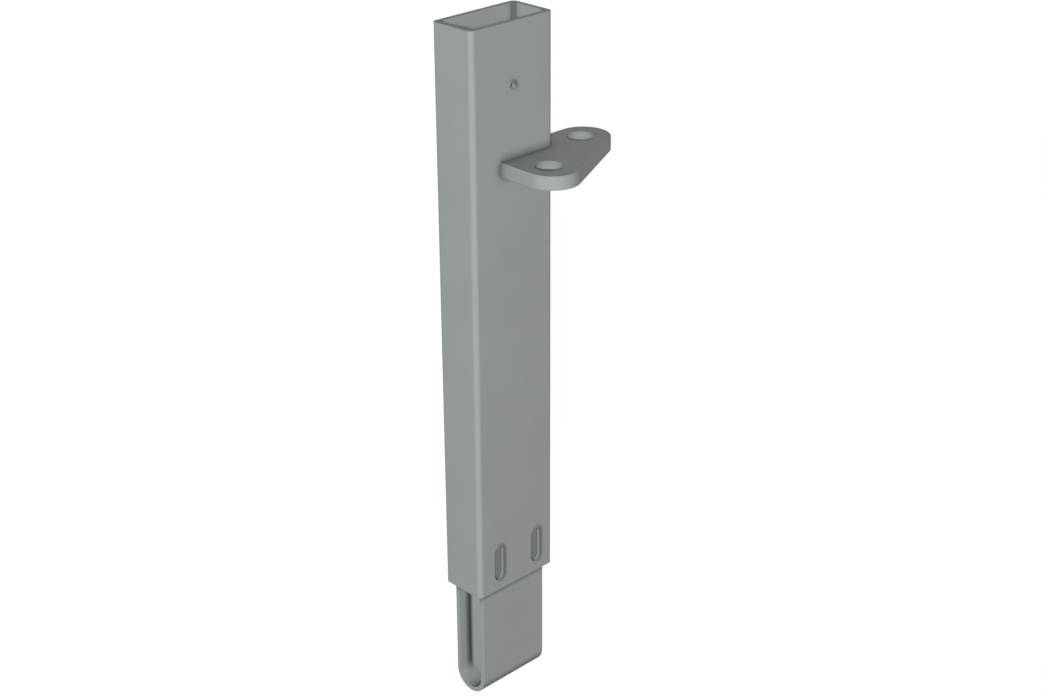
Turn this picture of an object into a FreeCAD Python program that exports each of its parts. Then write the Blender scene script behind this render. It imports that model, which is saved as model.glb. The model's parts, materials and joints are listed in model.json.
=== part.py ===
"""Corner fence post: a rectangular tube on a U-shaped foot, with a two-hole lug round one corner.

Frame: millimetres, +Z up, origin on the tube's axis at the lowest line of the foot. The wide face
with the slots looks along -Y, and the lug reaches out towards +X and -Y.
"""
import FreeCAD, Part
import math
import os
import Sketcher
from FreeCAD import Vector

os.makedirs("parts", exist_ok=True)
doc = FreeCAD.newDocument("corner_fence_post")

# Driving dimensions
SIZES = [
    ("tube_width", 60.0, "outside of the tube across its wide face"),
    ("tube_depth", 30.0, "outside of the tube across its narrow face"),
    ("tube_length", 342.0, "length of the tube"),
    ("tube_wall", 3.0, "wall of the tube"),
    ("tube_corner_radius", 3.0, "outside corner radius of the tube"),
    ("tube_inner_radius", 2.0, "inside corner radius of the tube"),
    ("slot_width", 7.5, "width of the two slots in the wide face"),
    ("slot_length", 23.0, "length of a slot over its round ends"),
    ("slot_rise", 18.0, "slot centre above the tube's lower end"),
    ("slot_spacing", 30.0, "distance between the slots' centre lines"),
    ("slot_shift", 1.0, "middle of the two slots off the tube's middle, towards the lug's side"),
    ("tie_hole_diameter", 4.0, "small hole near the tube's top"),
    ("tie_hole_drop", 35.0, "small hole's centre below the tube's top"),
    ("lug_rise", 266.5, "lug's top face above the tube's lower end"),
    ("lug_thickness", 8.0, "plate of the lug"),
    ("lug_end_radius", 15.5, "round ends of the lug"),
    ("lug_end_reach", 24.0, "centres of the round ends out from the tube's two faces"),
    ("lug_front_joint", 40.0, "lug's joint on the wide face, back from the narrow face's plane"),
    ("lug_hole_diameter", 16.0, "both holes of the lug"),
    ("lug_hole_reach", 22.0, "centres of both holes out from the tube's two faces"),
    ("lug_front_hole_inset", 25.0, "front hole's centre back from the narrow face's plane"),
    ("strap_width", 50.0, "flat bar of the foot, across"),
    ("strap_thickness", 3.0, "flat bar of the foot, through"),
    ("foot_clearance", 0.25, "gap between the foot and the tube's inside, on each face"),
    ("foot_drop", 74.5, "foot's lowest line below the tube's lower end"),
    ("foot_engagement", 45.0, "length of the foot inside the tube"),
    ("bar_thickness", 8.0, "backing bar inside the near leg of the foot"),
    ("bar_rise", 19.0, "backing bar's lower end above the foot's lowest line"),
    ("lug_weld_leg", 4.0, "leg of the fillet weld under the lug"),
    ("lug_weld_inset", 6.0, "length left unwelded at each end of the lug's joint"),
    ("bar_weld_leg", 2.0, "leg of the fillet weld under the backing bar"),
    ("weld_face_radius", 5.0, "radius of the crowned face of the fillet weld under the lug"),
    ("bar_weld_face_radius", 2.5, "radius of the crowned face of the weld under the bar"),
    ("slot_weld_cover", 0.5, "slot weld's height above the foot's face"),
    ("edge_break", 0.2, "chamfer on the free edges of the cut plate and of the flat bar"),
]

sheet = doc.addObject("Spreadsheet::Sheet", "Sizes")
for row, (alias, value, meaning) in enumerate(SIZES, start=1):
    sheet.set(f"A{row}", meaning)
    sheet.set(f"B{row}", str(value))
    sheet.setAlias(f"B{row}", alias)
doc.recompute()

SIZE = {alias: value for alias, value, meaning in SIZES}

# Planes and levels that several pieces share, each as an expression on the sheet
WIDE_FACE = "Sizes.tube_depth / 2"
NARROW_FACE = "Sizes.tube_width / 2"
FOOT_RADIUS = "(Sizes.tube_depth / 2 - Sizes.tube_wall - Sizes.foot_clearance)"
FOOT_INNER_RADIUS = f"({FOOT_RADIUS} - Sizes.strap_thickness)"
FOOT_TOP = "(Sizes.foot_drop + Sizes.foot_engagement)"
LUG_UNDERSIDE = "(Sizes.foot_drop + Sizes.lug_rise - Sizes.lug_thickness)"

# The same values as numbers, to draw each sketch where its dimensions will hold it
wide_face_y = -SIZE["tube_depth"] / 2
narrow_face_x = SIZE["tube_width"] / 2
foot_radius = SIZE["tube_depth"] / 2 - SIZE["tube_wall"] - SIZE["foot_clearance"]
foot_inner_radius = foot_radius - SIZE["strap_thickness"]
foot_top = SIZE["foot_drop"] + SIZE["foot_engagement"]
TOUCH = 1e-4

# A sketch's own points, by the places that the sketcher gives them
POINTS = ("edge", "start", "end", "centre")
START, END, CENTRE = (POINTS.index(point) for point in POINTS[1:])
HORIZONTAL_AXIS, VERTICAL_AXIS = -1, -2
ORIGIN = (HORIZONTAL_AXIS, START)


def new_body(name, lift=None):
    """A piece of the post, lifted to its level above the foot's lowest line."""
    body = doc.addObject("PartDesign::Body", name)
    body.Label = name
    if lift:
        body.setExpression("Placement.Base.z", lift)
    return body


def new_sketch(body, name, role):
    """A sketch on one of the body's own origin planes."""
    sketch = body.newObject("Sketcher::SketchObject", name)
    plane = next(item for item in body.Origin.OriginFeatures if item.Role == role)
    sketch.AttachmentSupport = (plane, [""])
    sketch.MapMode = "FlatFace"
    return sketch


def new_pad(body, name, sketch, length, symmetric=False):
    """Pads a sketch by a length that is an expression on the sheet."""
    pad = body.newObject("PartDesign::Pad", name)
    pad.Profile = sketch
    pad.SideType = "Symmetric" if symmetric else "One side"
    pad.setExpression("Length", length)
    sketch.Visibility = False
    return pad


def line(sketch, start, end):
    """A straight edge between two points of the sketch's plane."""
    return sketch.addGeometry(Part.LineSegment(Vector(*start, 0), Vector(*end, 0)), False)


def circle(sketch, centre, radius):
    """A full circle."""
    return sketch.addGeometry(Part.Circle(Vector(*centre, 0), Vector(0, 0, 1), radius), False)


def arc(sketch, centre, radius, start_angle, end_angle):
    """An arc drawn anticlockwise between two angles in degrees."""
    round_edge = Part.Circle(Vector(*centre, 0), Vector(0, 0, 1), radius)
    span = (math.radians(start_angle), math.radians(end_angle))
    return sketch.addGeometry(Part.ArcOfCircle(round_edge, *span), False)


def relate(sketch, kind, *references):
    """Adds a geometric constraint."""
    sketch.addConstraint(Sketcher.Constraint(kind, *references))


def point_at(sketch, geometry, position):
    """Where a point of the sketch is drawn."""
    if (geometry, position) == ORIGIN:
        return Vector(0, 0, 0)
    return sketch.getPoint(geometry, position)


def drive(sketch, kind, references, expression):
    """Adds a dimension as drawn and ties it to the sheet."""
    if kind == "Radius":
        drawn = sketch.Geometry[references[0]].Radius
    elif kind == "Diameter":
        drawn = 2 * sketch.Geometry[references[0]].Radius
    else:
        step = point_at(sketch, *references[2:]) - point_at(sketch, *references[:2])
        drawn = step.x if kind == "DistanceX" else step.y
    index = sketch.addConstraint(Sketcher.Constraint(kind, *references, drawn))
    sketch.setExpression(f"Constraints[{index}]", expression)


def break_edges(body, name, wanted):
    """Chamfers the edges of the body's last feature whose middle point is wanted."""
    doc.recompute()
    base = body.Tip
    chosen = []
    for number, edge in enumerate(base.Shape.Edges, start=1):
        middle = edge.valueAt((edge.FirstParameter + edge.LastParameter) / 2)
        if wanted(edge, middle):
            chosen.append(f"Edge{number}")
    if not chosen:
        raise RuntimeError(f"{name} finds no edge")
    chamfer = body.newObject("PartDesign::Chamfer", name)
    chamfer.Base = (base, chosen)
    chamfer.setExpression("Size", "Sizes.edge_break")
    return chamfer


def rounded_rectangle(sketch, half_x, half_y, radius, names):
    """A rectangle with round corners about the sketch's origin.

    names holds the expressions of the half width, the half height and the corner radius.
    """
    x, y = half_x - radius, half_y - radius
    sides = [
        line(sketch, (-x, -half_y), (x, -half_y)),
        line(sketch, (half_x, -y), (half_x, y)),
        line(sketch, (x, half_y), (-x, half_y)),
        line(sketch, (-half_x, y), (-half_x, -y)),
    ]
    corners = [
        arc(sketch, (x, -y), radius, 270, 360),
        arc(sketch, (x, y), radius, 0, 90),
        arc(sketch, (-x, y), radius, 90, 180),
        arc(sketch, (-x, -y), radius, 180, 270),
    ]
    for number, corner in enumerate(corners):
        relate(sketch, "Tangent", sides[number], END, corner, START)
        relate(sketch, "Tangent", corner, END, sides[(number + 1) % 4], START)
    for number in (0, 2):
        relate(sketch, "Horizontal", sides[number])
        relate(sketch, "Vertical", sides[number + 1])
    for corner in corners[1:]:
        relate(sketch, "Equal", corners[0], corner)
    drive(sketch, "DistanceX", (*ORIGIN, sides[1], START), names[0])
    drive(sketch, "DistanceX", (sides[3], START, *ORIGIN), names[0])
    drive(sketch, "DistanceY", (*ORIGIN, sides[2], START), names[1])
    drive(sketch, "DistanceY", (sides[0], START, *ORIGIN), names[1])
    drive(sketch, "Radius", (corners[0],), names[2])


def upright_slot(sketch, side):
    """One slot outline, to the left (side -1) or the right (side 1) of the middle."""
    x = side * SIZE["slot_spacing"] / 2 + SIZE["slot_shift"]
    radius = SIZE["slot_width"] / 2
    reach = SIZE["slot_length"] / 2 - radius
    high, low = SIZE["slot_rise"] + reach, SIZE["slot_rise"] - reach
    right = line(sketch, (x + radius, low), (x + radius, high))
    top = arc(sketch, (x, high), radius, 0, 180)
    left = line(sketch, (x - radius, high), (x - radius, low))
    bottom = arc(sketch, (x, low), radius, 180, 360)
    loop = [(right, END, top, START), (top, END, left, START), (left, END, bottom, START)]
    for joint in loop + [(bottom, END, right, START)]:
        relate(sketch, "Tangent", *joint)
    relate(sketch, "Vertical", left)
    relate(sketch, "Equal", top, bottom)
    drive(sketch, "Radius", (top,), "Sizes.slot_width / 2")
    middle = (*ORIGIN, top, CENTRE) if side > 0 else (top, CENTRE, *ORIGIN)
    sign = "+" if side > 0 else "-"
    drive(sketch, "DistanceX", middle, f"Sizes.slot_spacing / 2 {sign} Sizes.slot_shift")
    drive(sketch, "DistanceY", (bottom, CENTRE, top, CENTRE), "Sizes.slot_length - Sizes.slot_width")
    rise = "Sizes.slot_rise - (Sizes.slot_length - Sizes.slot_width) / 2"
    drive(sketch, "DistanceY", (*ORIGIN, bottom, CENTRE), rise)


def cut_front_wall(body, name, sketch, base_volume):
    """Cuts a sketch on the middle plane through the wall of the wide front face only."""
    pocket = body.newObject("PartDesign::Pocket", name)
    pocket.Profile = sketch
    pocket.Reversed = True
    pocket.setExpression("Length", "Sizes.tube_depth")
    sketch.Visibility = False
    doc.recompute()
    if not pocket.Shape.Volume < base_volume:
        raise RuntimeError(f"{name} cuts nothing")
    return pocket.Shape.Volume


def make_post_tube():
    """The rectangular tube, open at both ends, with two slots and a small hole in its wide face."""
    body = new_body("post_tube", "Sizes.foot_drop")
    section = new_sketch(body, "tube_section", "XY_Plane")
    outside = (NARROW_FACE, WIDE_FACE, "Sizes.tube_corner_radius")
    rounded_rectangle(section, narrow_face_x, -wide_face_y, SIZE["tube_corner_radius"], outside)
    inside = (f"{NARROW_FACE} - Sizes.tube_wall", f"{WIDE_FACE} - Sizes.tube_wall", "Sizes.tube_inner_radius")
    wall = SIZE["tube_wall"]
    rounded_rectangle(section, narrow_face_x - wall, -wide_face_y - wall, SIZE["tube_inner_radius"], inside)
    tube = new_pad(body, "tube", section, "Sizes.tube_length")
    doc.recompute()
    slots = new_sketch(body, "slot_outlines", "XZ_Plane")
    upright_slot(slots, -1)
    upright_slot(slots, 1)
    volume = cut_front_wall(body, "slots", slots, tube.Shape.Volume)
    small = new_sketch(body, "tie_hole_outline", "XZ_Plane")
    hole = circle(small, (0, SIZE["tube_length"] - SIZE["tie_hole_drop"]), SIZE["tie_hole_diameter"] / 2)
    relate(small, "PointOnObject", hole, CENTRE, VERTICAL_AXIS)
    drive(small, "Diameter", (hole,), "Sizes.tie_hole_diameter")
    drive(small, "DistanceY", (*ORIGIN, hole, CENTRE), "Sizes.tube_length - Sizes.tie_hole_drop")
    cut_front_wall(body, "tie_hole", small, volume)
    return body


def make_corner_lug():
    """The plate lug: round ends about its two holes, and a notch that fits the tube's corner."""
    body = new_body("corner_lug", LUG_UNDERSIDE)
    outline = new_sketch(body, "lug_outline", "XY_Plane")
    radius = SIZE["lug_end_radius"]
    corner = SIZE["tube_corner_radius"]
    left_x = narrow_face_x - SIZE["lug_front_joint"]
    front = (left_x + radius, wide_face_y - SIZE["lug_end_reach"])
    side = (narrow_face_x + SIZE["lug_end_reach"], wide_face_y)
    slope = math.atan2(side[1] - front[1], side[0] - front[0])
    tangent = (radius * math.sin(slope), -radius * math.cos(slope))
    turn = math.degrees(slope) - 90
    back_y = side[1] + radius
    left_side = line(outline, (left_x, wide_face_y), (left_x, front[1]))
    front_end = arc(outline, front, radius, 180, 360 + turn)
    diagonal = line(outline, (front[0] + tangent[0], front[1] + tangent[1]),
                    (side[0] + tangent[0], side[1] + tangent[1]))
    side_end = arc(outline, side, radius, turn, 90)
    back_edge = line(outline, (side[0], back_y), (narrow_face_x, back_y))
    on_narrow_face = line(outline, (narrow_face_x, back_y), (narrow_face_x, wide_face_y + corner))
    notch = arc(outline, (narrow_face_x - corner, wide_face_y + corner), corner, -90, 0)
    on_wide_face = line(outline, (narrow_face_x - corner, wide_face_y), (left_x, wide_face_y))
    relate(outline, "Tangent", left_side, END, front_end, START)
    relate(outline, "Tangent", front_end, END, diagonal, START)
    relate(outline, "Tangent", diagonal, END, side_end, START)
    relate(outline, "Tangent", side_end, END, back_edge, START)
    relate(outline, "Coincident", back_edge, END, on_narrow_face, START)
    relate(outline, "Tangent", on_narrow_face, END, notch, END)
    relate(outline, "Tangent", notch, START, on_wide_face, START)
    relate(outline, "Coincident", on_wide_face, END, left_side, START)
    for upright in (left_side, on_narrow_face):
        relate(outline, "Vertical", upright)
    for level in (back_edge, on_wide_face):
        relate(outline, "Horizontal", level)
    relate(outline, "Equal", front_end, side_end)
    relate(outline, "Horizontal", side_end, CENTRE, on_wide_face, START)
    drive(outline, "Radius", (front_end,), "Sizes.lug_end_radius")
    drive(outline, "Radius", (notch,), "Sizes.tube_corner_radius")
    drive(outline, "DistanceX", (*ORIGIN, on_narrow_face, START), NARROW_FACE)
    drive(outline, "DistanceY", (on_wide_face, START, *ORIGIN), WIDE_FACE)
    drive(outline, "DistanceX", (on_wide_face, END, on_narrow_face, START), "Sizes.lug_front_joint")
    drive(outline, "DistanceY", (front_end, CENTRE, on_wide_face, START), "Sizes.lug_end_reach")
    drive(outline, "DistanceX", (on_narrow_face, START, side_end, CENTRE), "Sizes.lug_end_reach")
    hole_radius = SIZE["lug_hole_diameter"] / 2
    reach, inset = SIZE["lug_hole_reach"], SIZE["lug_front_hole_inset"]
    front_hole = circle(outline, (narrow_face_x - inset, wide_face_y - reach), hole_radius)
    side_hole = circle(outline, (narrow_face_x + reach, wide_face_y), hole_radius)
    relate(outline, "Equal", front_hole, side_hole)
    relate(outline, "Horizontal", side_hole, CENTRE, on_wide_face, START)
    drive(outline, "Diameter", (front_hole,), "Sizes.lug_hole_diameter")
    drive(outline, "DistanceX", (front_hole, CENTRE, on_narrow_face, START), "Sizes.lug_front_hole_inset")
    drive(outline, "DistanceY", (front_hole, CENTRE, on_wide_face, START), "Sizes.lug_hole_reach")
    drive(outline, "DistanceX", (on_narrow_face, START, side_hole, CENTRE), "Sizes.lug_hole_reach")
    new_pad(body, "plate", outline, "Sizes.lug_thickness")

    def is_free_edge(edge, middle):
        level = min(abs(middle.z), abs(middle.z - SIZE["lug_thickness"]))
        beside_tube = middle.x < narrow_face_x + TOUCH and middle.y > wide_face_y - TOUCH
        return level < TOUCH and not edge.isClosed() and not beside_tube

    break_edges(body, "plate_edges", is_free_edge)
    return body


def make_foot_strap():
    """The flat bar bent to a U, its legs inside the tube."""
    body = new_body("foot_strap")
    profile = new_sketch(body, "bend", "YZ_Plane")
    outer, inner = foot_radius, foot_inner_radius
    near_outer = line(profile, (-outer, foot_top), (-outer, outer))
    bend_outer = arc(profile, (0, outer), outer, 180, 360)
    far_outer = line(profile, (outer, outer), (outer, foot_top))
    far_end = line(profile, (outer, foot_top), (inner, foot_top))
    far_inner = line(profile, (inner, foot_top), (inner, outer))
    bend_inner = arc(profile, (0, outer), inner, 180, 360)
    near_inner = line(profile, (-inner, outer), (-inner, foot_top))
    near_end = line(profile, (-inner, foot_top), (-outer, foot_top))
    relate(profile, "Tangent", near_outer, END, bend_outer, START)
    relate(profile, "Tangent", bend_outer, END, far_outer, START)
    relate(profile, "Tangent", far_inner, END, bend_inner, END)
    relate(profile, "Tangent", bend_inner, START, near_inner, START)
    relate(profile, "Coincident", far_outer, END, far_end, START)
    relate(profile, "Coincident", far_end, END, far_inner, START)
    relate(profile, "Coincident", near_inner, END, near_end, START)
    relate(profile, "Coincident", near_end, END, near_outer, START)
    relate(profile, "Coincident", bend_inner, CENTRE, bend_outer, CENTRE)
    relate(profile, "PointOnObject", bend_outer, CENTRE, VERTICAL_AXIS)
    for upright in (near_outer, far_outer, far_inner, near_inner):
        relate(profile, "Vertical", upright)
    for level in (far_end, near_end):
        relate(profile, "Horizontal", level)
    relate(profile, "Horizontal", near_outer, START, far_outer, END)
    drive(profile, "Radius", (bend_outer,), FOOT_RADIUS)
    drive(profile, "Radius", (bend_inner,), FOOT_INNER_RADIUS)
    drive(profile, "DistanceY", (*ORIGIN, bend_outer, CENTRE), FOOT_RADIUS)
    drive(profile, "DistanceY", (*ORIGIN, near_outer, START), FOOT_TOP)
    new_pad(body, "strap", profile, "Sizes.strap_width", symmetric=True)

    def is_outer_edge(edge, middle):
        on_side = abs(abs(middle.x) - SIZE["strap_width"] / 2) < TOUCH
        on_outside = abs(middle.z) < TOUCH or abs(abs(middle.y) - foot_radius) < TOUCH
        return on_side and on_outside

    break_edges(body, "strap_edges", is_outer_edge)
    return body


def make_backing_bar():
    """The thick bar on the inside of the near leg, flush with the strap's edges and ends."""
    body = new_body("backing_bar")
    profile = new_sketch(body, "bar_section", "YZ_Plane")
    back, front = -foot_inner_radius, -foot_inner_radius + SIZE["bar_thickness"]
    low, high = SIZE["bar_rise"], foot_top
    on_strap = line(profile, (back, high), (back, low))
    lower_end = line(profile, (back, low), (front, low))
    inside = line(profile, (front, low), (front, high))
    upper_end = line(profile, (front, high), (back, high))
    loop = [on_strap, lower_end, inside, upper_end]
    for number, edge in enumerate(loop):
        relate(profile, "Coincident", edge, END, loop[(number + 1) % 4], START)
    for upright in (on_strap, inside):
        relate(profile, "Vertical", upright)
    for level in (lower_end, upper_end):
        relate(profile, "Horizontal", level)
    drive(profile, "DistanceX", (on_strap, END, *ORIGIN), FOOT_INNER_RADIUS)
    drive(profile, "DistanceX", (lower_end, START, lower_end, END), "Sizes.bar_thickness")
    drive(profile, "DistanceY", (*ORIGIN, lower_end, START), "Sizes.bar_rise")
    drive(profile, "DistanceY", (*ORIGIN, on_strap, START), FOOT_TOP)
    new_pad(body, "bar", profile, "Sizes.strap_width", symmetric=True)

    def is_inside_edge(edge, middle):
        below_top = middle.z < foot_top - TOUCH
        return abs(middle.y - front) < TOUCH and below_top

    break_edges(body, "bar_edges", is_inside_edge)
    return body


def fillet_section(sketch, root, leg, face_radius, out, names):
    """The section of a fillet weld that hangs under a joint, with a crowned face.

    root is the joint's point, out is 1 or -1 for the way that the weld stands out of the upright
    face, and names holds the expressions of the root's two distances, the leg and the face radius.
    """
    toe = (root[0] + out * leg, root[1])
    foot = (root[0], root[1] - leg)
    half_chord = leg / math.sqrt(2)
    depth = math.sqrt(face_radius ** 2 - half_chord ** 2) / math.sqrt(2)
    centre = (root[0] + out * (leg / 2 - depth), root[1] - leg / 2 + depth)
    ends = [math.degrees(math.atan2(y - centre[1], x - centre[0])) for x, y in (foot, toe)]
    if out < 0:
        ends = [ends[1] % 360, ends[0] % 360]
    under = line(sketch, root, toe)
    face = arc(sketch, centre, face_radius, *ends)
    upright = line(sketch, foot, root)
    low, high = (START, END) if out > 0 else (END, START)
    relate(sketch, "Coincident", under, END, face, high)
    relate(sketch, "Coincident", face, low, upright, START)
    relate(sketch, "Coincident", upright, END, under, START)
    relate(sketch, "Horizontal", under)
    relate(sketch, "Vertical", upright)
    across = (under, START, under, END) if out > 0 else (under, END, under, START)
    drive(sketch, "DistanceX", across, names[2])
    drive(sketch, "DistanceY", (upright, START, upright, END), names[2])
    drive(sketch, "Radius", (face,), names[3])
    drive(sketch, "DistanceX", (under, START, *ORIGIN), names[0])
    if names[1]:
        drive(sketch, "DistanceY", (*ORIGIN, under, START), names[1])
    else:
        relate(sketch, "PointOnObject", under, START, HORIZONTAL_AXIS)


def make_lug_weld():
    """The fillet weld under the lug, along the wide face, round the corner and up the narrow face."""
    body = new_body("lug_weld", LUG_UNDERSIDE)
    corner = SIZE["tube_corner_radius"]
    first_x = narrow_face_x - SIZE["lug_front_joint"] + SIZE["lug_weld_inset"]
    last_y = wide_face_y + SIZE["lug_end_radius"] - SIZE["lug_weld_inset"]
    path = new_sketch(body, "lug_weld_path", "XY_Plane")
    wide = line(path, (first_x, wide_face_y), (narrow_face_x - corner, wide_face_y))
    turn = arc(path, (narrow_face_x - corner, wide_face_y + corner), corner, -90, 0)
    narrow = line(path, (narrow_face_x, wide_face_y + corner), (narrow_face_x, last_y))
    relate(path, "Tangent", wide, END, turn, START)
    relate(path, "Tangent", turn, END, narrow, START)
    relate(path, "Horizontal", wide)
    relate(path, "Vertical", narrow)
    drive(path, "Radius", (turn,), "Sizes.tube_corner_radius")
    drive(path, "DistanceX", (*ORIGIN, narrow, START), NARROW_FACE)
    drive(path, "DistanceY", (wide, START, *ORIGIN), WIDE_FACE)
    drive(path, "DistanceX", (wide, START, narrow, START), "Sizes.lug_front_joint - Sizes.lug_weld_inset")
    drive(path, "DistanceY", (wide, START, narrow, END), "Sizes.lug_end_radius - Sizes.lug_weld_inset")
    section = new_sketch(body, "lug_weld_section", "YZ_Plane")
    offset = f"{NARROW_FACE} - Sizes.lug_front_joint + Sizes.lug_weld_inset"
    section.setExpression("AttachmentOffset.Base.z", offset)
    names = (WIDE_FACE, None, "Sizes.lug_weld_leg", "Sizes.weld_face_radius")
    fillet_section(section, (wide_face_y, 0), SIZE["lug_weld_leg"], SIZE["weld_face_radius"], -1, names)
    doc.recompute()
    bead = body.newObject("PartDesign::AdditivePipe", "lug_weld_bead")
    bead.Profile = section
    bead.Spine = (path, ["Edge1", "Edge2", "Edge3"])
    for sketch in (path, section):
        sketch.Visibility = False
    return body


def make_bar_weld():
    """The small fillet weld under the backing bar's lower end."""
    body = new_body("bar_weld")
    section = new_sketch(body, "bar_weld_section", "YZ_Plane")
    root = (-foot_inner_radius, SIZE["bar_rise"])
    names = (FOOT_INNER_RADIUS, "Sizes.bar_rise", "Sizes.bar_weld_leg", "Sizes.bar_weld_face_radius")
    fillet_section(section, root, SIZE["bar_weld_leg"], SIZE["bar_weld_face_radius"], 1, names)
    new_pad(body, "bar_weld_bead", section, "Sizes.strap_width", symmetric=True)
    return body


def make_slot_welds():
    """The two slot welds: flat pools on the foot's near face, held in by the slots' edges."""
    body = new_body("slot_welds", "Sizes.foot_drop")
    pools = new_sketch(body, "pool_outlines", "XZ_Plane")
    pools.setExpression("AttachmentOffset.Base.z", FOOT_RADIUS)
    upright_slot(pools, -1)
    upright_slot(pools, 1)
    pad = new_pad(body, "weld_pools", pools, "Sizes.foot_clearance + Sizes.slot_weld_cover")
    pad.AllowMultiFace = True
    return body


pieces = [
    make_post_tube(),
    make_corner_lug(),
    make_foot_strap(),
    make_backing_bar(),
    make_lug_weld(),
    make_bar_weld(),
    make_slot_welds(),
]
doc.recompute()

for item in doc.Objects:
    if "Invalid" in item.State or "Error" in item.State:
        raise RuntimeError(f"{item.Label} did not recompute: {item.State}")
for piece in pieces:
    if piece.Shape.isNull() or not piece.Shape.isValid():
        raise RuntimeError(f"{piece.Label} has no valid solid")

for piece in pieces:
    piece.Shape.exportStep(f"parts/{piece.Label}.step")
    box = piece.Shape.BoundBox
    low = (round(box.XMin, 2), round(box.YMin, 2), round(box.ZMin, 2))
    high = (round(box.XMax, 2), round(box.YMax, 2), round(box.ZMax, 2))
    print(piece.Label, len(piece.Shape.Solids), round(piece.Shape.Volume, 1), low, high)
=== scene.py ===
"""Looks of the corner fence post: its powder coat, its weld beads, the floor, the lamps and the camera."""

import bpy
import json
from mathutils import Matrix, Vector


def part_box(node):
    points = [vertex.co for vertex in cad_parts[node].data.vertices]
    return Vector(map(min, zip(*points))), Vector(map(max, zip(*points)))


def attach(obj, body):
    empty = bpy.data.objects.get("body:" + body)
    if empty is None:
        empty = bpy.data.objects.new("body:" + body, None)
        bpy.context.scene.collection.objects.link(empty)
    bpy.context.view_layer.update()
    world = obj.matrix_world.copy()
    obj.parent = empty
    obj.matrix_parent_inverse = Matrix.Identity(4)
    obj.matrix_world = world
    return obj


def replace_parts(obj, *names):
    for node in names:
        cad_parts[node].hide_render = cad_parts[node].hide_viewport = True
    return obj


bl_info = {
    "name": "Corner fence post looks",
    "version": (1, 0, 0),
    "blender": (4, 5, 0),
    "location": "View3D > Sidebar > Fence post",
    "description": "Coats a welded corner fence post, lays its weld beads and sets it on a pale floor",
    "category": "Object",
}

import json
import math

import bmesh
import bpy
import numpy as np
from bpy.props import FloatProperty, FloatVectorProperty, PointerProperty
from mathutils import Quaternion, Vector, noise

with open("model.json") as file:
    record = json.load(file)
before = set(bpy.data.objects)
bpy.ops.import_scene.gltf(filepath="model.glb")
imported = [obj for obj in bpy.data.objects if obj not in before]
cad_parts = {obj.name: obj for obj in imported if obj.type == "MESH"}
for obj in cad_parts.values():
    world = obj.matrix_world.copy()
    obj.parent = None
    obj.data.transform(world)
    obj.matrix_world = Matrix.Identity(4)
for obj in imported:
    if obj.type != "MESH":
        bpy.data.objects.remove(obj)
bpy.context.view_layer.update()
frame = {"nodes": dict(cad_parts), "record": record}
NODES = frame["nodes"]

# Corners of the imported pieces, which the beads, the pools and the painted shade start from
LUG_LOW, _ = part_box("corner_lug")
TUBE_LOW, TUBE_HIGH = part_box("post_tube")
STRAP_LOW, STRAP_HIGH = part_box("foot_strap")
BAR_LOW, BAR_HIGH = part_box("backing_bar")
LUG_BEAD_LOW, LUG_BEAD_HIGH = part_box("lug_weld")
BAR_BEAD_LOW, BAR_BEAD_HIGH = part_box("bar_weld")
POOL_LOW, POOL_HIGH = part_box("slot_welds")
MOUNTS = {mount["name"]: mount for mount in frame["record"]["mounts"]}
LUG_HOLES = (MOUNTS["lug_front_hole"], MOUNTS["lug_side_hole"])
TIE_HOLE = MOUNTS["tie_hole"]

# Sizes that no corner of a box gives, in metres
TUBE_CORNER = 0.003
WALL = 0.003
HAIR = 0.0001
SLOT_RADIUS = 0.00375
SLOT_CENTRES = (POOL_LOW.x + SLOT_RADIUS, POOL_HIGH.x - SLOT_RADIUS)
SLOT_LEVEL = (POOL_LOW.z + POOL_HIGH.z) / 2
SLOT_HALF_LENGTH = (POOL_HIGH.z - POOL_LOW.z) / 2

# Painted shade that darkens each kind of surface near its corners and joints: how far it reaches out of a
# corner, how open a place is where the recess colour is full and where it ends, and its greatest share
RECESS = {
    "drawn": (0.006, 0.12, 1.0, 1.0),
    "cut": (0.006, 0.1, 0.98, 0.76),
    "bent": (0.009, 0.66, 0.92, 0.62),
    "rolled": (0.003, 0.3, 0.95, 0.6),
    "weld": (0.002, 0.1, 0.9, 0.8),
}

# Heights of the marks that show faintly through the coat, in metres
DRAWN_LINES = 0.000005
ROLL_LINES = 0.000006
CUT_STREAKS = 0.000022
DRILL_RINGS = 0.00007

# How finely the beads are laid, the length over which the lug's bead thins out at its ends, and the
# radius of a bead's crowned face in legs
LUG_BEAD_STEP = 0.00025
BAR_BEAD_STEP = 0.0002
LUG_BEAD_TAPER = 0.003
BEAD_CROWN = 1.25

# Each lamp's direction from the post, turned from -Y towards -X, and its height, both in degrees,
# its distance and its width in metres, and its colour
LAMPS = {
    "key_lamp": (46.6, 19.0, 3.3, 0.35, (1.0, 1.0, 0.985)),
    "fill_lamp": (90.0, 4.0, 2.4, 0.9, (0.35, 0.5, 1.0)),
    "side_lamp": (-105.0, 3.0, 2.4, 0.9, (1.0, 0.975, 0.94)),
    "back_lamp": (180.0, 5.0, 2.4, 0.9, (1.0, 1.0, 0.985)),
}
LAMP_TARGET = Vector((0.0, 0.0, 0.22))
WHITE = (1.0, 1.0, 1.0, 1.0)
FLOOR_REACH = 12.0
FLOOR_GLOW = 0.952


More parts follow.
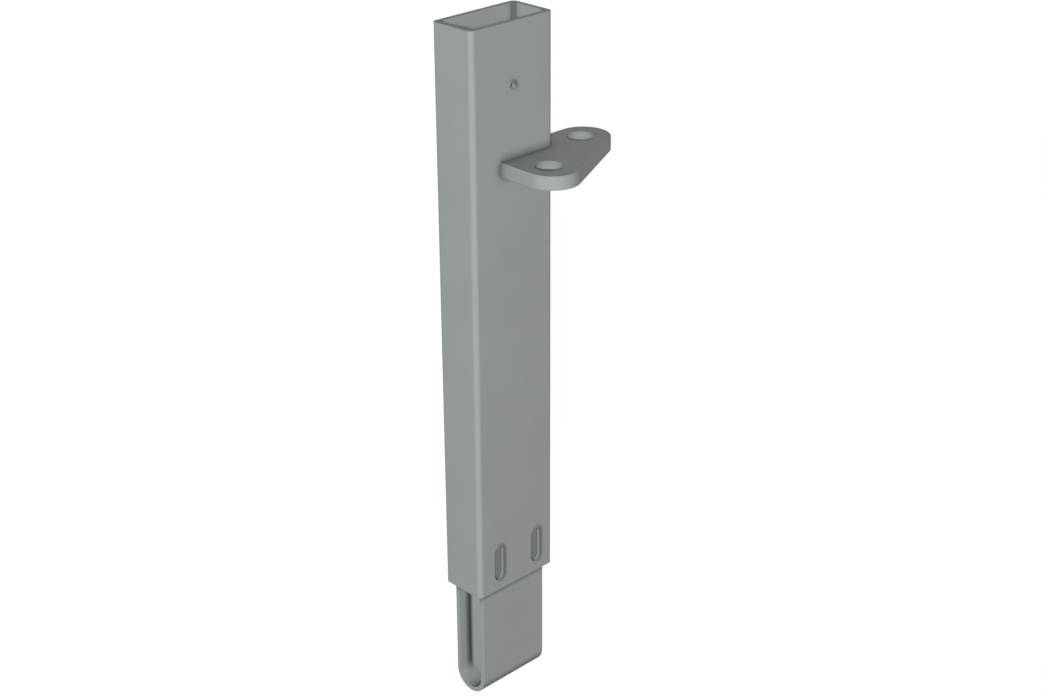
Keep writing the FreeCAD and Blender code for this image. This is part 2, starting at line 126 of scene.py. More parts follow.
class CoatSettings(bpy.types.PropertyGroup):
    """The powder coat that covers every piece, and the painted shade that is mixed into its colour."""

    color: FloatVectorProperty(
        name="Colour", description="Colour of the powder coat", subtype="COLOR",
        size=3, min=0.0, max=1.0, default=(0.385, 0.415, 0.385))
    # Painted shade: the colour that the coat turns towards in corners, joints, gaps and under the bend
    shade_color: FloatVectorProperty(
        name="Recess colour", description="Colour of the dust and thin coat in corners and joints",
        subtype="COLOR", size=3, min=0.0, max=1.0, default=(0.012, 0.013, 0.012))
    roughness: FloatProperty(
        name="Roughness", description="Roughness of the coat", subtype="FACTOR",
        min=0.0, max=1.0, default=0.5)
    peel_size: FloatProperty(
        name="Orange peel size", description="Distance between the coat's fine waves",
        subtype="DISTANCE", unit="LENGTH", min=0.0002, default=0.0017)
    peel_height: FloatProperty(
        name="Orange peel height", description="Height of the coat's fine waves",
        subtype="DISTANCE", unit="LENGTH", min=0.0, default=0.000012)
    # How strongly the painted shade darkens corners and joints
    recess_share: FloatProperty(
        name="Recess share", description="Strength of the darker coat in corners", subtype="FACTOR",
        min=0.0, max=1.0, default=1.0)
    # Painted shade: how strongly the corner shade darkens the inside of the tube
    inner_share: FloatProperty(
        name="Inner share", description="Strength of the darker coat inside the tube", subtype="FACTOR",
        min=0.0, max=1.0, default=0.85)
    # Painted shade: how strongly the corner shade darkens the walls of the tube's cuts
    cut_share: FloatProperty(
        name="Cut share", description="Strength of the darker coat on the walls of the tube's cuts",
        subtype="FACTOR", min=0.0, max=1.0, default=0.2)
    # Painted shade along the rims of the tube's cuts
    rim_share: FloatProperty(
        name="Rim share", description="Strength of the darker coat along the rims of the tube's cuts",
        subtype="FACTOR", min=0.0, max=1.0, default=0.5)
    # Painted shade deep between the foot's legs
    gap_share: FloatProperty(
        name="Gap share", description="Strength of the dust deep between the foot's legs",
        subtype="FACTOR", min=0.0, max=1.0, default=0.8)
    # Painted shade on the foot just below the tube's end
    ledge_share: FloatProperty(
        name="Ledge share", description="Strength of the dust on the foot just below the tube",
        subtype="FACTOR", min=0.0, max=1.0, default=0.46)
    # Painted shade on the downward faces of the bend
    underside_shade_share: FloatProperty(
        name="Splash share", description="Strength of the dirt under the foot's bend", subtype="FACTOR",
        min=0.0, max=1.0, default=0.42)
    # Painted shade down the tube's inner corners
    corner_share: FloatProperty(
        name="Corner share", description="Strength of the dust in the tube's inner corners",
        subtype="FACTOR", min=0.0, max=1.0, default=0.62)
    # Painted shade on the lug towards the tube
    lug_shade_share: FloatProperty(
        name="Film share", description="Strength of the dust on the lug towards the tube",
        subtype="FACTOR", min=0.0, max=1.0, default=0.41)
    # The drill's rings are real marks; the darkening of the hole walls that carries them is partly painted
    # shade
    ring_share: FloatProperty(
        name="Ring share", description="Strength of the drill's rings in the lug's holes",
        subtype="FACTOR", min=0.0, max=1.0, default=0.22)
    # Painted shade: the pools' coat is a darker copy of the coat
    pool_shade_tone: FloatProperty(
        name="Pool tone", description="Brightness of the thin coat over the weld in the slots",
        subtype="FACTOR", min=0.0, max=1.0, default=0.62)
    edge_radius: FloatProperty(
        name="Edge radius", description="Radius that the coat gives to a sharp edge",
        subtype="DISTANCE", unit="LENGTH", min=0.0, default=0.00012)


class BeadSettings(bpy.types.PropertyGroup):
    """The weld beads and the pools in the slots."""

    ripple_pitch: FloatProperty(
        name="Ripple pitch", description="Distance between the ripples of a bead",
        subtype="DISTANCE", unit="LENGTH", min=0.0003, default=0.0015)
    ripple_height: FloatProperty(
        name="Ripple height", description="Height of the ripples of a bead",
        subtype="DISTANCE", unit="LENGTH", min=0.0, default=0.00022)
    pool_ripple_height: FloatProperty(
        name="Pool ripple height", description="Height of the ripples on a slot's weld pool",
        subtype="DISTANCE", unit="LENGTH", min=0.0, default=0.00006)


class StageSettings(bpy.types.PropertyGroup):
    """The floor, the lamps and the camera."""

    camera_place: FloatVectorProperty(
        name="Camera place", description="Where the camera stands", subtype="TRANSLATION",
        unit="LENGTH", size=3, default=(-0.6582, -0.6922, 0.6752))
    camera_azimuth: FloatProperty(
        name="Camera azimuth", description="Direction of view, turned from +Y towards +X",
        subtype="ANGLE", unit="ROTATION", default=math.radians(44.422))
    camera_fall: FloatProperty(
        name="Camera fall", description="How far the camera looks down", subtype="ANGLE",
        unit="ROTATION", default=math.radians(25.329))
    camera_roll: FloatProperty(
        name="Camera roll", description="Turn of the camera about its line of view", subtype="ANGLE",
        unit="ROTATION", default=math.radians(-0.329))
    lens: FloatProperty(
        name="Lens", description="Focal length on a sensor 36 mm wide", unit="CAMERA",
        min=1.0, default=63.922)
    key_strength: FloatProperty(
        name="Key strength", description="Brightness of white paper that faces the key lamp",
        min=0.0, default=0.955)
    fill_strength: FloatProperty(
        name="Fill strength", description="Brightness of white paper that faces the cool left lamp",
        min=0.0, default=0.08)
    side_strength: FloatProperty(
        name="Side strength", description="Brightness of white paper that faces the lamp on the right",
        min=0.0, default=0.38)
    back_strength: FloatProperty(
        name="Back strength", description="Brightness of white paper that faces the lamp behind",
        min=0.0, default=0.44)
    sky_strength: FloatProperty(
        name="Sky strength", description="Even light from all round", min=0.0, default=0.02)
    floor_color: FloatVectorProperty(
        name="Floor colour", description="Colour of the floor", subtype="COLOR",
        size=3, min=0.0, max=1.0, default=(0.14, 0.14, 0.14))


def settings(context):
    """The three groups of settings, as they stand in the scene."""
    scene = context.scene
    return scene.fence_post_coat, scene.fence_post_beads, scene.fence_post_stage


class Graph:
    """A material's or a world's nodes, laid out from left to right."""

    def __init__(self, tree):
        self.tree = tree
        tree.nodes.clear()
        self.column = 0

    def add(self, kind, inputs=None, **settings_of_node):
        """A node with its settings, and its inputs as values or as other nodes' outputs."""
        node = self.tree.nodes.new(kind)
        node.location = (180 * self.column, 0)
        self.column += 1
        for key, value in settings_of_node.items():
            setattr(node, key, value)
        for key, value in (inputs or {}).items():
            if isinstance(value, bpy.types.NodeSocket):
                self.tree.links.new(value, node.inputs[key])
            else:
                node.inputs[key].default_value = value
        return node

    def math(self, operation, first, second=0.0, clamp=False):
        """One step of arithmetic."""
        node = self.add("ShaderNodeMath", {0: first, 1: second}, operation=operation, use_clamp=clamp)
        return node.outputs[0]

    def times(self, first, second):
        """A product."""
        return self.math("MULTIPLY", first, second)

    def less(self, first, second):
        """A difference."""
        return self.math("SUBTRACT", first, second)

    def larger(self, first, second):
        """The larger of two values."""
        return self.math("MAXIMUM", first, second)

    def below(self, value, limit):
        """1 where a value lies below a limit."""
        return self.math("LESS_THAN", value, limit)

    def above(self, value, limit):
        """1 where a value lies above a limit."""
        return self.math("GREATER_THAN", value, limit)

    def measured(self, operation, first, second=(0.0, 0.0, 0.0)):
        """A length, a distance or a dot product."""
        node = self.add("ShaderNodeVectorMath", {0: first, 1: second}, operation=operation)
        return node.outputs["Value"]

    def stretched(self, coordinate, scale):
        """Coordinates scaled along each axis."""
        node = self.add("ShaderNodeVectorMath", {0: coordinate, 1: scale}, operation="MULTIPLY")
        return node.outputs[0]

    def openness(self, reach, only_local=False):
        """How much of the sky a place sees within a reach."""
        node = self.add(
            "ShaderNodeAmbientOcclusion", {"Distance": reach}, samples=16, only_local=only_local)
        return node.outputs["AO"]

    def noise(self, coordinate, scale, detail=2.0, roughness=0.5):
        """Smooth noise from 0 to 1."""
        node = self.add(
            "ShaderNodeTexNoise",
            {"Vector": coordinate, "Scale": scale, "Detail": detail, "Roughness": roughness})
        return node.outputs["Fac"]

    def ramp(self, value, low, high, to_low, to_high):
        """Maps a range of values smoothly to another."""
        node = self.add(
            "ShaderNodeMapRange",
            {"Value": value, "From Min": low, "From Max": high, "To Min": to_low, "To Max": to_high},
            interpolation_type="SMOOTHSTEP")
        return node.outputs["Result"]

    def mix_colors(self, factor, first, second):
        """Two colours mixed."""
        node = self.add("ShaderNodeMix", {"Factor": factor}, data_type="RGBA")
        for socket, value in ((node.inputs[6], first), (node.inputs[7], second)):
            if isinstance(value, bpy.types.NodeSocket):
                self.tree.links.new(value, socket)
            else:
                socket.default_value = value
        return node.outputs[2]

    def bump(self, height, distance, normal=None):
        """Bump from a height that runs from 0 to 1 over a distance in metres."""
        inputs = {"Height": height, "Distance": distance, "Strength": 1.0}
        if normal is not None:
            inputs["Normal"] = normal
        return self.add("ShaderNodeBump", inputs).outputs["Normal"]

    def background_rays(self):
        """1 for the rays that see the white background: those of the camera, of gloss and of glass."""
        seen = self.add("ShaderNodeLightPath").outputs
        direct = self.larger(seen["Is Camera Ray"], seen["Is Glossy Ray"])
        return self.larger(direct, seen["Is Transmission Ray"])


def opaque(color):
    """A colour with full alpha."""
    return (*color, 1.0)


class CoatGraph(Graph):
    """The nodes of a coated surface, with the places and directions that its marks go by."""

    def __init__(self, tree, coat):
        super().__init__(tree)
        self.coat = coat
        self.place = self.add("ShaderNodeTexCoord").outputs["Object"]
        self.level_place = self.stretched(self.place, (1.0, 1.0, 0.0))
        self.axes = self.add("ShaderNodeSeparateXYZ", {"Vector": self.place}).outputs
        self.normal = self.add("ShaderNodeNewGeometry").outputs["Normal"]
        self.normal_z = self.add("ShaderNodeSeparateXYZ", {"Vector": self.normal}).outputs["Z"]
        self.upright = self.math("SUBTRACT", 1.0, self.math("ABSOLUTE", self.normal_z), clamp=True)

    def coat_color(self, tone_share):
        """The coat's colour with faint clouds and specks, brighter or darker as a whole by a share."""
        clouds = self.ramp(self.noise(self.place, 26.0, 3.0), 0.3, 0.7, 0.988, 1.012)
        specks = self.ramp(self.noise(self.place, 1500.0, 1.0), 0.2, 0.8, -0.012, 0.012)
        tone = self.math("ADD", clouds, specks)
        low, high = 0.86, 1.14
        dark = opaque(low * tone_share * channel for channel in self.coat.color)
        pale = opaque(high * tone_share * channel for channel in self.coat.color)
        return self.mix_colors(self.ramp(tone, low, high, 0.0, 1.0), dark, pale)

    def corner_shade(self, reach, full_at, gone_at, share, only_local):
        """Share of the recess colour near corners and joints, as painted shade from how much of the sky a
        place sees.
        """
        past_full = self.math("SUBTRACT", self.openness(reach, only_local), full_at, clamp=True)
        clear = self.math("MULTIPLY", past_full, 1.0 / (gone_at - full_at), clamp=True)
        return self.times(self.less(1.0, clear), share * self.coat.recess_share)

    def orange_peel(self):
        """The coat's fine waves, with softened edges."""
        rounded = self.add("ShaderNodeBevel", {"Radius": self.coat.edge_radius}, samples=4)
        waves = self.noise(self.place, 1.0 / self.coat.peel_size, 1.5, 0.4)
        return self.bump(waves, self.coat.peel_height, rounded.outputs["Normal"])

    def lines(self, scale, detail=2.0):
        """Noise drawn out into lines."""
        return self.noise(self.stretched(self.place, scale), 1.0, detail)


def rim_shade(graph, centre, half_run, radius, side):
    """Painted shade along the rim of a slot or a hole in the tube's wide face, darker on one side.

    centre is the rim's middle in x and z, half_run the half length between the centres of its
    round ends, and side the way to its darker side in x and z.
    """
    offset, flattening = 0.0004, 0.72
    across = graph.less(graph.axes["X"], centre[0])
    along = graph.less(graph.axes["Z"], centre[1])
    nearest = graph.math("MINIMUM", graph.larger(along, -half_run), half_run)
    beyond = graph.less(along, nearest)
    spoke = graph.add("ShaderNodeCombineXYZ", {"X": across, "Z": beyond}).outputs["Vector"]
    length = graph.measured("LENGTH", spoke)
    outward = graph.times(graph.less(graph.less(length, radius), offset), flattening)
    deep = graph.less(graph.axes["Y"], TUBE_LOW.y)
    squares = graph.math("ADD", graph.math("POWER", outward, 2.0), graph.math("POWER", deep, 2.0))
    away = graph.math("SQRT", squares)
    facing = graph.measured("DOT_PRODUCT", spoke, (side[0], 0.0, side[1]))
    facing = graph.math("DIVIDE", facing, graph.larger(length, HAIR))
    side_weight = graph.math("ADD", graph.times(facing, 0.65), 0.35, clamp=True)
    return graph.times(graph.ramp(away, 0.0002, 0.0018, 1.0, 0.0), side_weight)


def tube_marks(graph, painted_shade, surface):
    """Painted shade inside the tube, in its corners and along the rims of its cuts, and the lines of
    drawing.
    """
    coat, axes = graph.coat, graph.axes
    # Inside the tube and on the walls of its cuts the painted corner shade is weakened
    out_from_axis = graph.measured("DOT_PRODUCT", graph.level_place, graph.normal)
    outside = graph.above(out_from_axis, TUBE_HIGH.y - 0.001)
    in_cut = graph.below(axes["Y"], TUBE_LOW.y + WALL - HAIR)
    within = graph.math("ADD", graph.times(in_cut, coat.cut_share - coat.inner_share), coat.inner_share)
    painted_shade = graph.times(painted_shade, graph.larger(outside, within))

    # A band of painted shade down each inner corner of the tube
    start, run = 0.0065, 0.0019
    past_x = graph.less(graph.math("ABSOLUTE", axes["X"]), TUBE_HIGH.x - start)
    past_y = graph.less(graph.math("ABSOLUTE", axes["Y"]), TUBE_HIGH.y - start)
    corner = graph.ramp(graph.math("MINIMUM", past_x, past_y), 0.0, run, 0.0, coat.corner_share)
    corner = graph.times(corner, graph.less(1.0, outside))
    corner = graph.times(corner, graph.above(graph.upright, 0.5))
    painted_shade = graph.larger(painted_shade, corner)

    # Painted shade round the tie hole and the slots, darker towards one side
    x, _, z = TIE_HOLE["pos_m"]
    rims = [((x, z), 0.0, TIE_HOLE["dims"]["r_mm"] / 1000, (0.8, 0.6))]
    half_run = SLOT_HALF_LENGTH - SLOT_RADIUS
    rims += [((centre, SLOT_LEVEL), half_run, SLOT_RADIUS, (1.0, 0.0)) for centre in SLOT_CENTRES]
    for rim in rims:
        painted_shade = graph.larger(painted_shade, graph.times(rim_shade(graph, *rim), coat.rim_share))

    lines = graph.lines((900.0, 900.0, 5.0))
    return painted_shade, graph.bump(graph.times(lines, graph.upright), DRAWN_LINES, surface)


def plate_marks(graph, painted_shade, surface):
    """Painted shade on the lug towards the tube and in its holes, the drill's rings in its holes and the
    streaks of cutting.
    """
    coat = graph.coat
    off_centres = [
        graph.measured("DISTANCE", graph.level_place, (*hole["pos_m"][:2], 0.0)) for hole in LUG_HOLES]
    off_centre = graph.math("MINIMUM", *off_centres)
    hole_radius = LUG_HOLES[0]["dims"]["r_mm"] / 1000
    hole_wall = graph.times(graph.below(off_centre, hole_radius + 0.0006), graph.upright)
    rings = graph.lines((20.0, 20.0, 1300.0), 1.0)
    surface = graph.bump(graph.times(rings, hole_wall), DRILL_RINGS, surface)
    # The hole walls are darkened all round as painted shade, and more along the drill's rings
    rings_and_shade = graph.times(hole_wall, graph.ramp(rings, 0.42, 0.58, 0.1, coat.ring_share))
    painted_shade = graph.larger(painted_shade, rings_and_shade)

    # Painted shade on the lug near the tube, from how much of the sky a place sees
    joint_shade = graph.times(graph.less(1.0, graph.openness(0.03)), coat.lug_shade_share)
    out_of_hole = graph.math("SUBTRACT", 1.0, graph.below(off_centre, hole_radius), clamp=True)
    joint_shade = graph.times(joint_shade, out_of_hole)
    painted_shade = graph.math("ADD", painted_shade, graph.times(joint_shade, graph.less(1.0, painted_shade)))

    cut_edge = graph.math("SUBTRACT", graph.upright, hole_wall, clamp=True)
    streaks = graph.lines((1300.0, 1300.0, 60.0), 1.5)
    return painted_shade, graph.bump(graph.times(streaks, cut_edge), CUT_STREAKS, surface)


def roll_lines(graph, surface):
    """The faint lines that rolling leaves along a flat bar."""
    return graph.bump(graph.lines((700.0, 240.0, 14.0)), ROLL_LINES, surface)


def strap_marks(graph, painted_shade, surface):
    """Painted shade deep between the foot's legs, below the tube's end and under the bend."""
    coat, axes = graph.coat, graph.axes
    # Painted shade that grows deeper between the legs and fades towards the bottom of the bend
    depth = graph.less(STRAP_HIGH.x, graph.math("ABSOLUTE", axes["X"]))
    inside = graph.below(graph.math("ABSOLUTE", axes["Y"]), STRAP_HIGH.y - WALL + HAIR)
    gap = graph.times(inside, graph.ramp(depth, 0.003, 0.0082, 0.0, coat.gap_share))
    gap = graph.times(gap, graph.ramp(axes["Z"], 0.003, BAR_LOW.z - 0.0025, 0.0, 1.0))
    painted_shade = graph.larger(painted_shade, gap)

    # Painted shade on the foot just below the tube's end, heavier on the wide face
    drop = graph.less(TUBE_LOW.z, axes["Z"])
    wide = graph.below(axes["Y"], STRAP_LOW.y + 3 * HAIR)
    ledge = graph.times(wide, graph.ramp(drop, 0.0024, 0.0064, coat.ledge_share, 0.0))
    rest = graph.ramp(drop, 0.0042, 0.0095, 0.8 * coat.ledge_share, 0.0)
    rest = graph.times(graph.less(1.0, wide), rest)
    painted_shade = graph.larger(painted_shade, graph.larger(ledge, rest))

    # Painted shade on the faces that look down
    underside_shade = graph.ramp(graph.normal_z, -0.55, -0.02, coat.underside_shade_share, 0.0)
    return graph.larger(painted_shade, underside_shade), roll_lines(graph, surface)


def bar_marks(graph, painted_shade, surface):
    """Painted shade on the backing bar towards the gap."""
    share = 0.9 * graph.coat.gap_share
    # Painted shade along the bar's edge that faces the far leg
    gap = graph.ramp(graph.axes["Y"], BAR_HIGH.y - 0.0027, BAR_HIGH.y, 0.0, share)
    return graph.larger(painted_shade, gap), roll_lines(graph, surface)


# What each kind of surface shows through its coat, and the painted shade that it adds besides that in its
# corners
MARKS = {"drawn": tube_marks, "cut": plate_marks, "bent": strap_marks, "rolled": bar_marks}


def coat_material(context, name, marks, tone_share=1.0):
    """A satin powder coat over steel.

    marks says what shows faintly through it: drawn marks along a tube, cut marks on the edges and
    in the holes of a plate, roll marks of a bent or a straight flat bar, or nothing over a weld.
    """
    coat, _, _ = settings(context)
    material = bpy.data.materials.new(name)
    material.use_nodes = True
    graph = CoatGraph(material.node_tree, coat)
    coated = graph.coat_color(tone_share)
    painted_shade = graph.corner_shade(*RECESS[marks], marks == "bent")
    surface = graph.orange_peel()
    if marks in MARKS:
        painted_shade, surface = MARKS[marks](graph, painted_shade, surface)
    # The coat's colour is mixed towards the recess colour by the painted shade
    shade = graph.mix_colors(painted_shade, coated, opaque(coat.shade_color))
    smears = graph.noise(graph.place, 70.0, 3.0)
    gloss = graph.ramp(smears, 0.25, 0.75, coat.roughness - 0.04, coat.roughness + 0.05)
    body = graph.add(
        "ShaderNodeBsdfPrincipled",
        {"Base Color": shade, "Roughness": gloss, "Normal": surface, "Metallic": 0.0, "IOR": 1.5,
         "Specular IOR Level": 0.04})
    graph.add("ShaderNodeOutputMaterial", {"Surface": body.outputs["BSDF"]})
    return material


def dress(node_name, material):
    """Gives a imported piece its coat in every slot."""
    mesh = NODES[node_name].data
    if not mesh.materials:
        mesh.materials.append(material)
    for index in range(len(mesh.materials)):
        mesh.materials[index] = material


def new_piece(name, vertices, faces, material, sharp_angle=35.0):
    """A smooth mesh, hung under the empty of the root body."""
    mesh = bpy.data.meshes.new(name)
    mesh.from_pydata([tuple(vertex) for vertex in vertices], [], faces)
    mesh.validate()
    solid = bmesh.new()
    solid.from_mesh(mesh)
    bmesh.ops.recalc_face_normals(solid, faces=solid.faces)
    solid.to_mesh(mesh)
    solid.free()
    mesh.polygons.foreach_set("use_smooth", [True] * len(mesh.polygons))
    mesh.set_sharp_from_angle(angle=math.radians(sharp_angle))
    mesh.materials.append(material)
    piece = bpy.data.objects.new(name, mesh)
    bpy.context.scene.collection.objects.link(piece)
    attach(piece, "root")
    return piece


def bead_profile(steps):
    """Points of a crowned fillet's face, from its toe under the plate to its foot on the upright.

    The legs are 1 long. Each point comes with the direction that the face looks in.
    """
    half_chord = math.sqrt(0.5)
    depth = math.sqrt(BEAD_CROWN ** 2 - half_chord ** 2) / math.sqrt(2)
    centre = np.array([0.5 - depth, 0.5 - depth])
    first = math.atan2(0.0 - centre[1], 1.0 - centre[0])
    last = math.atan2(1.0 - centre[1], 0.0 - centre[0])
    angles = np.linspace(first, last, steps)
    looks = np.stack([np.cos(angles), np.sin(angles)], 1)
    return centre + BEAD_CROWN * looks, looks


def bead(stations, leg, pitch, height, taper):
    """Vertices and faces of a rippled fillet bead, which hangs down from its joint.

    stations holds, for each step along the joint, the root point, the direction away from the
    upright face and the length run so far. taper is the length over which each end thins out.
    """
    steps, thinnest = 13, 0.12
    points, looks = bead_profile(steps)
    share = np.linspace(0.0, 1.0, steps)
    fade = np.sin(math.pi * share) ** 0.6
    total = stations[-1][2]
    down = np.array([0.0, 0.0, -1.0])
    vertices, faces = [], []
    for root, out, run in stations:
        end = min(run, total - run)
        size = 1.0
        if end < taper:
            size = max(thinnest, math.sqrt(1 - (1 - end / taper) ** 2))
        wander = noise.noise(Vector((run * 110.0, 3.7, leg * 900.0)))
        size *= 1.0 - 0.05 * abs(wander)
        jitter = 0.3 * noise.noise(Vector((run * 160.0, 9.1, 2.0)))
        phase = run / pitch + jitter + 0.55 * (1 - (2 * share - 1) ** 2)
        ripple = height * fade * (np.abs(np.sin(math.pi * phase)) - 0.6)
        ring = points * leg * size + looks * (ripple * size)[:, None]
        vertices.append(np.array(root) - HAIR * out - HAIR * down)
        for across, drop in ring:
            vertices.append(np.array(root) + out * across + down * drop)
    row = steps + 1
    for station in range(len(stations) - 1):
        low, high = station * row, (station + 1) * row
        for column in range(row):
            following = (column + 1) % row
            faces.append((low + column, low + following, high + following, high + column))
    last = (len(stations) - 1) * row
    faces.append(tuple(range(row - 1, -1, -1)))
    faces.append(tuple(last + column for column in range(row)))
    return vertices, faces


def pool(centre_x, centre_z, half_width, half_length, floor_y, cover, pitch, height):
    """Vertices and faces of one flat weld pool in an upright slot, with low crescent ripples."""
    columns, rows = 22, 112
    reach = half_length - half_width
    vertices, faces = [], []
    for row in range(rows + 1):
        z = -half_length * math.cos(math.pi * row / rows)
        beyond = max(0.0, abs(z) - reach)
        width = math.sqrt(max(0.0, half_width ** 2 - beyond ** 2))
        width = max(width, 0.02 * half_width)
        for column in range(columns + 1):
            share = 2 * column / columns - 1
            x = width * share
            edge = max(abs(share), beyond / half_width)
            run = (z + 0.4 * x * x / half_width) / pitch
            jitter = 0.25 * noise.noise(Vector((x * 300, z * 300, 5.0)))
            wave = abs(math.sin(math.pi * (run + jitter))) - 0.5
            rise = cover + height * wave * (1 - edge ** 4)
            vertices.append((centre_x + x, floor_y - rise, centre_z + z))
    row_length = columns + 1
    for row in range(rows):
        for column in range(columns):
            low = row * row_length + column
            high = low + row_length
            faces.append((low, low + 1, high + 1, high))
    outline = list(range(row_length))
    outline += [row * row_length + columns for row in range(1, rows + 1)]
    outline += [rows * row_length + column for column in range(columns - 1, -1, -1)]
    outline += [row * row_length for row in range(rows - 1, 0, -1)]
    base = len(vertices)
    for index in outline:
        x, _, z = vertices[index]
        vertices.append((x, floor_y, z))
    for side in range(len(outline)):
        following = (side + 1) % len(outline)
        faces.append((outline[following], outline[side], base + side, base + following))
    faces.append(tuple(range(base, len(vertices))))
    return vertices, faces


def joint_stations(step):
    """Stations along the lug's joint, on the wide face, round the corner and on the narrow face.

    The bead's leg comes with them.
    """
    leg = LUG_BEAD_HIGH.x - TUBE_HIGH.x
    corner = TUBE_CORNER
    height = LUG_LOW.z
    first = np.array([LUG_BEAD_LOW.x, TUBE_LOW.y])
    turn_start = np.array([TUBE_HIGH.x - corner, TUBE_LOW.y])
    turn_centre = turn_start + np.array([0.0, corner])
    last = np.array([TUBE_HIGH.x, LUG_BEAD_HIGH.y])
    along_wide = turn_start[0] - first[0]
    along_turn = corner * math.pi / 2
    along_narrow = last[1] - turn_centre[1]
    total = along_wide + along_turn + along_narrow
    stations = []
    for run in np.linspace(0.0, total, int(total / step) + 1):
        if run < along_wide:
            spot, out = first + np.array([run, 0.0]), np.array([0.0, -1.0])
        elif run < along_wide + along_turn:
            angle = (run - along_wide) / corner
            out = np.array([math.sin(angle), -math.cos(angle)])
            spot = turn_centre + corner * out
        else:
            spot = np.array([last[0], turn_centre[1] + run - along_wide - along_turn])
            out = np.array([1.0, 0.0])
        stations.append((np.array([*spot, height]), np.array([*out, 0.0]), run))
    return stations, leg


class FENCE_POST_OT_coat_tube(bpy.types.Operator):
    """Coat the rectangular tube"""

    bl_idname = "fence_post.coat_tube"
    bl_label = "Coat the tube"

    def execute(self, context):
        dress("post_tube", coat_material(context, "coat_over_tube", "drawn"))
        return {"FINISHED"}


class FENCE_POST_OT_coat_lug(bpy.types.Operator):
    """Coat the drilled lug and the backing bar, which are cut from plate"""

    bl_idname = "fence_post.coat_lug"
    bl_label = "Coat the lug and the bar"

    def execute(self, context):
        dress("corner_lug", coat_material(context, "coat_over_cut_plate", "cut"))
        dress("backing_bar", coat_material(context, "coat_over_bar", "rolled"))
        return {"FINISHED"}


class FENCE_POST_OT_coat_foot(bpy.types.Operator):
    """Coat the bent strap of the foot"""

    bl_idname = "fence_post.coat_foot"
    bl_label = "Coat the foot"

    def execute(self, context):
        dress("foot_strap", coat_material(context, "coat_over_strap", "bent"))
        return {"FINISHED"}


class FENCE_POST_OT_lay_beads(bpy.types.Operator):
    """Lay the fillet beads under the lug and under the backing bar"""

    bl_idname = "fence_post.lay_beads"
    bl_label = "Lay the fillet beads"

    def execute(self, context):
        _, beads, _ = settings(context)
        material = coat_material(context, "coat_over_bead", "weld")
        stations, leg = joint_stations(LUG_BEAD_STEP)
        vertices, faces = bead(stations, leg, beads.ripple_pitch, beads.ripple_height, LUG_BEAD_TAPER)
        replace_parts(new_piece("lug_bead", vertices, faces, material), "lug_weld")

        leg = BAR_BEAD_HIGH.y - BAR_BEAD_LOW.y
        width = BAR_BEAD_HIGH.x - BAR_BEAD_LOW.x
        root = Vector((BAR_BEAD_LOW.x, BAR_BEAD_LOW.y, BAR_BEAD_HIGH.z))
        out = np.array([0.0, 1.0, 0.0])
        stations = [
            (np.array([root.x + run, root.y, root.z]), out, run)
            for run in np.linspace(0.0, width, int(width / BAR_BEAD_STEP) + 1)]
        vertices, faces = bead(stations, leg, 0.8 * beads.ripple_pitch, 0.5 * beads.ripple_height, 0)
        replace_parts(new_piece("bar_bead", vertices, faces, material), "bar_weld")
        return {"FINISHED"}


class FENCE_POST_OT_fill_slots(bpy.types.Operator):
    """Fill the bottoms of the two slots with weld pools"""

    bl_idname = "fence_post.fill_slots"
    bl_label = "Fill the slots"

    def execute(self, context):
        coat, beads, _ = settings(context)
        # The pools get a darker copy of the coat as painted shade
        material = coat_material(context, "coat_over_pool", "weld", coat.pool_shade_tone)
        cover = POOL_HIGH.y - POOL_LOW.y
        for name, centre_x in zip(("left", "right"), SLOT_CENTRES):
            vertices, faces = pool(
                centre_x, SLOT_LEVEL, SLOT_RADIUS, SLOT_HALF_LENGTH, POOL_HIGH.y, cover,
                beads.ripple_pitch, beads.pool_ripple_height)
            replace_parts(new_piece(f"{name}_slot_pool", vertices, faces, material), "slot_welds")
        return {"FINISHED"}


def plain_surface(name, color, glow_strength):
    """A pale surface that the camera sees near white, with the object's shadow kept on it."""
    material = bpy.data.materials.new(name)
    material.use_nodes = True
    graph = Graph(material.node_tree)
    direct = graph.background_rays()
    glow = graph.add("ShaderNodeEmission", {"Color": WHITE, "Strength": glow_strength})
    dull = graph.add("ShaderNodeBsdfDiffuse", {"Color": opaque(color), "Roughness": 0.0})
    both = graph.add("ShaderNodeAddShader", {0: dull.outputs[0], 1: glow.outputs[0]})
    mixed = graph.add("ShaderNodeMixShader", {0: direct, 1: dull.outputs[0], 2: both.outputs[0]})
    graph.add("ShaderNodeOutputMaterial", {"Surface": mixed.outputs[0]})
    return material


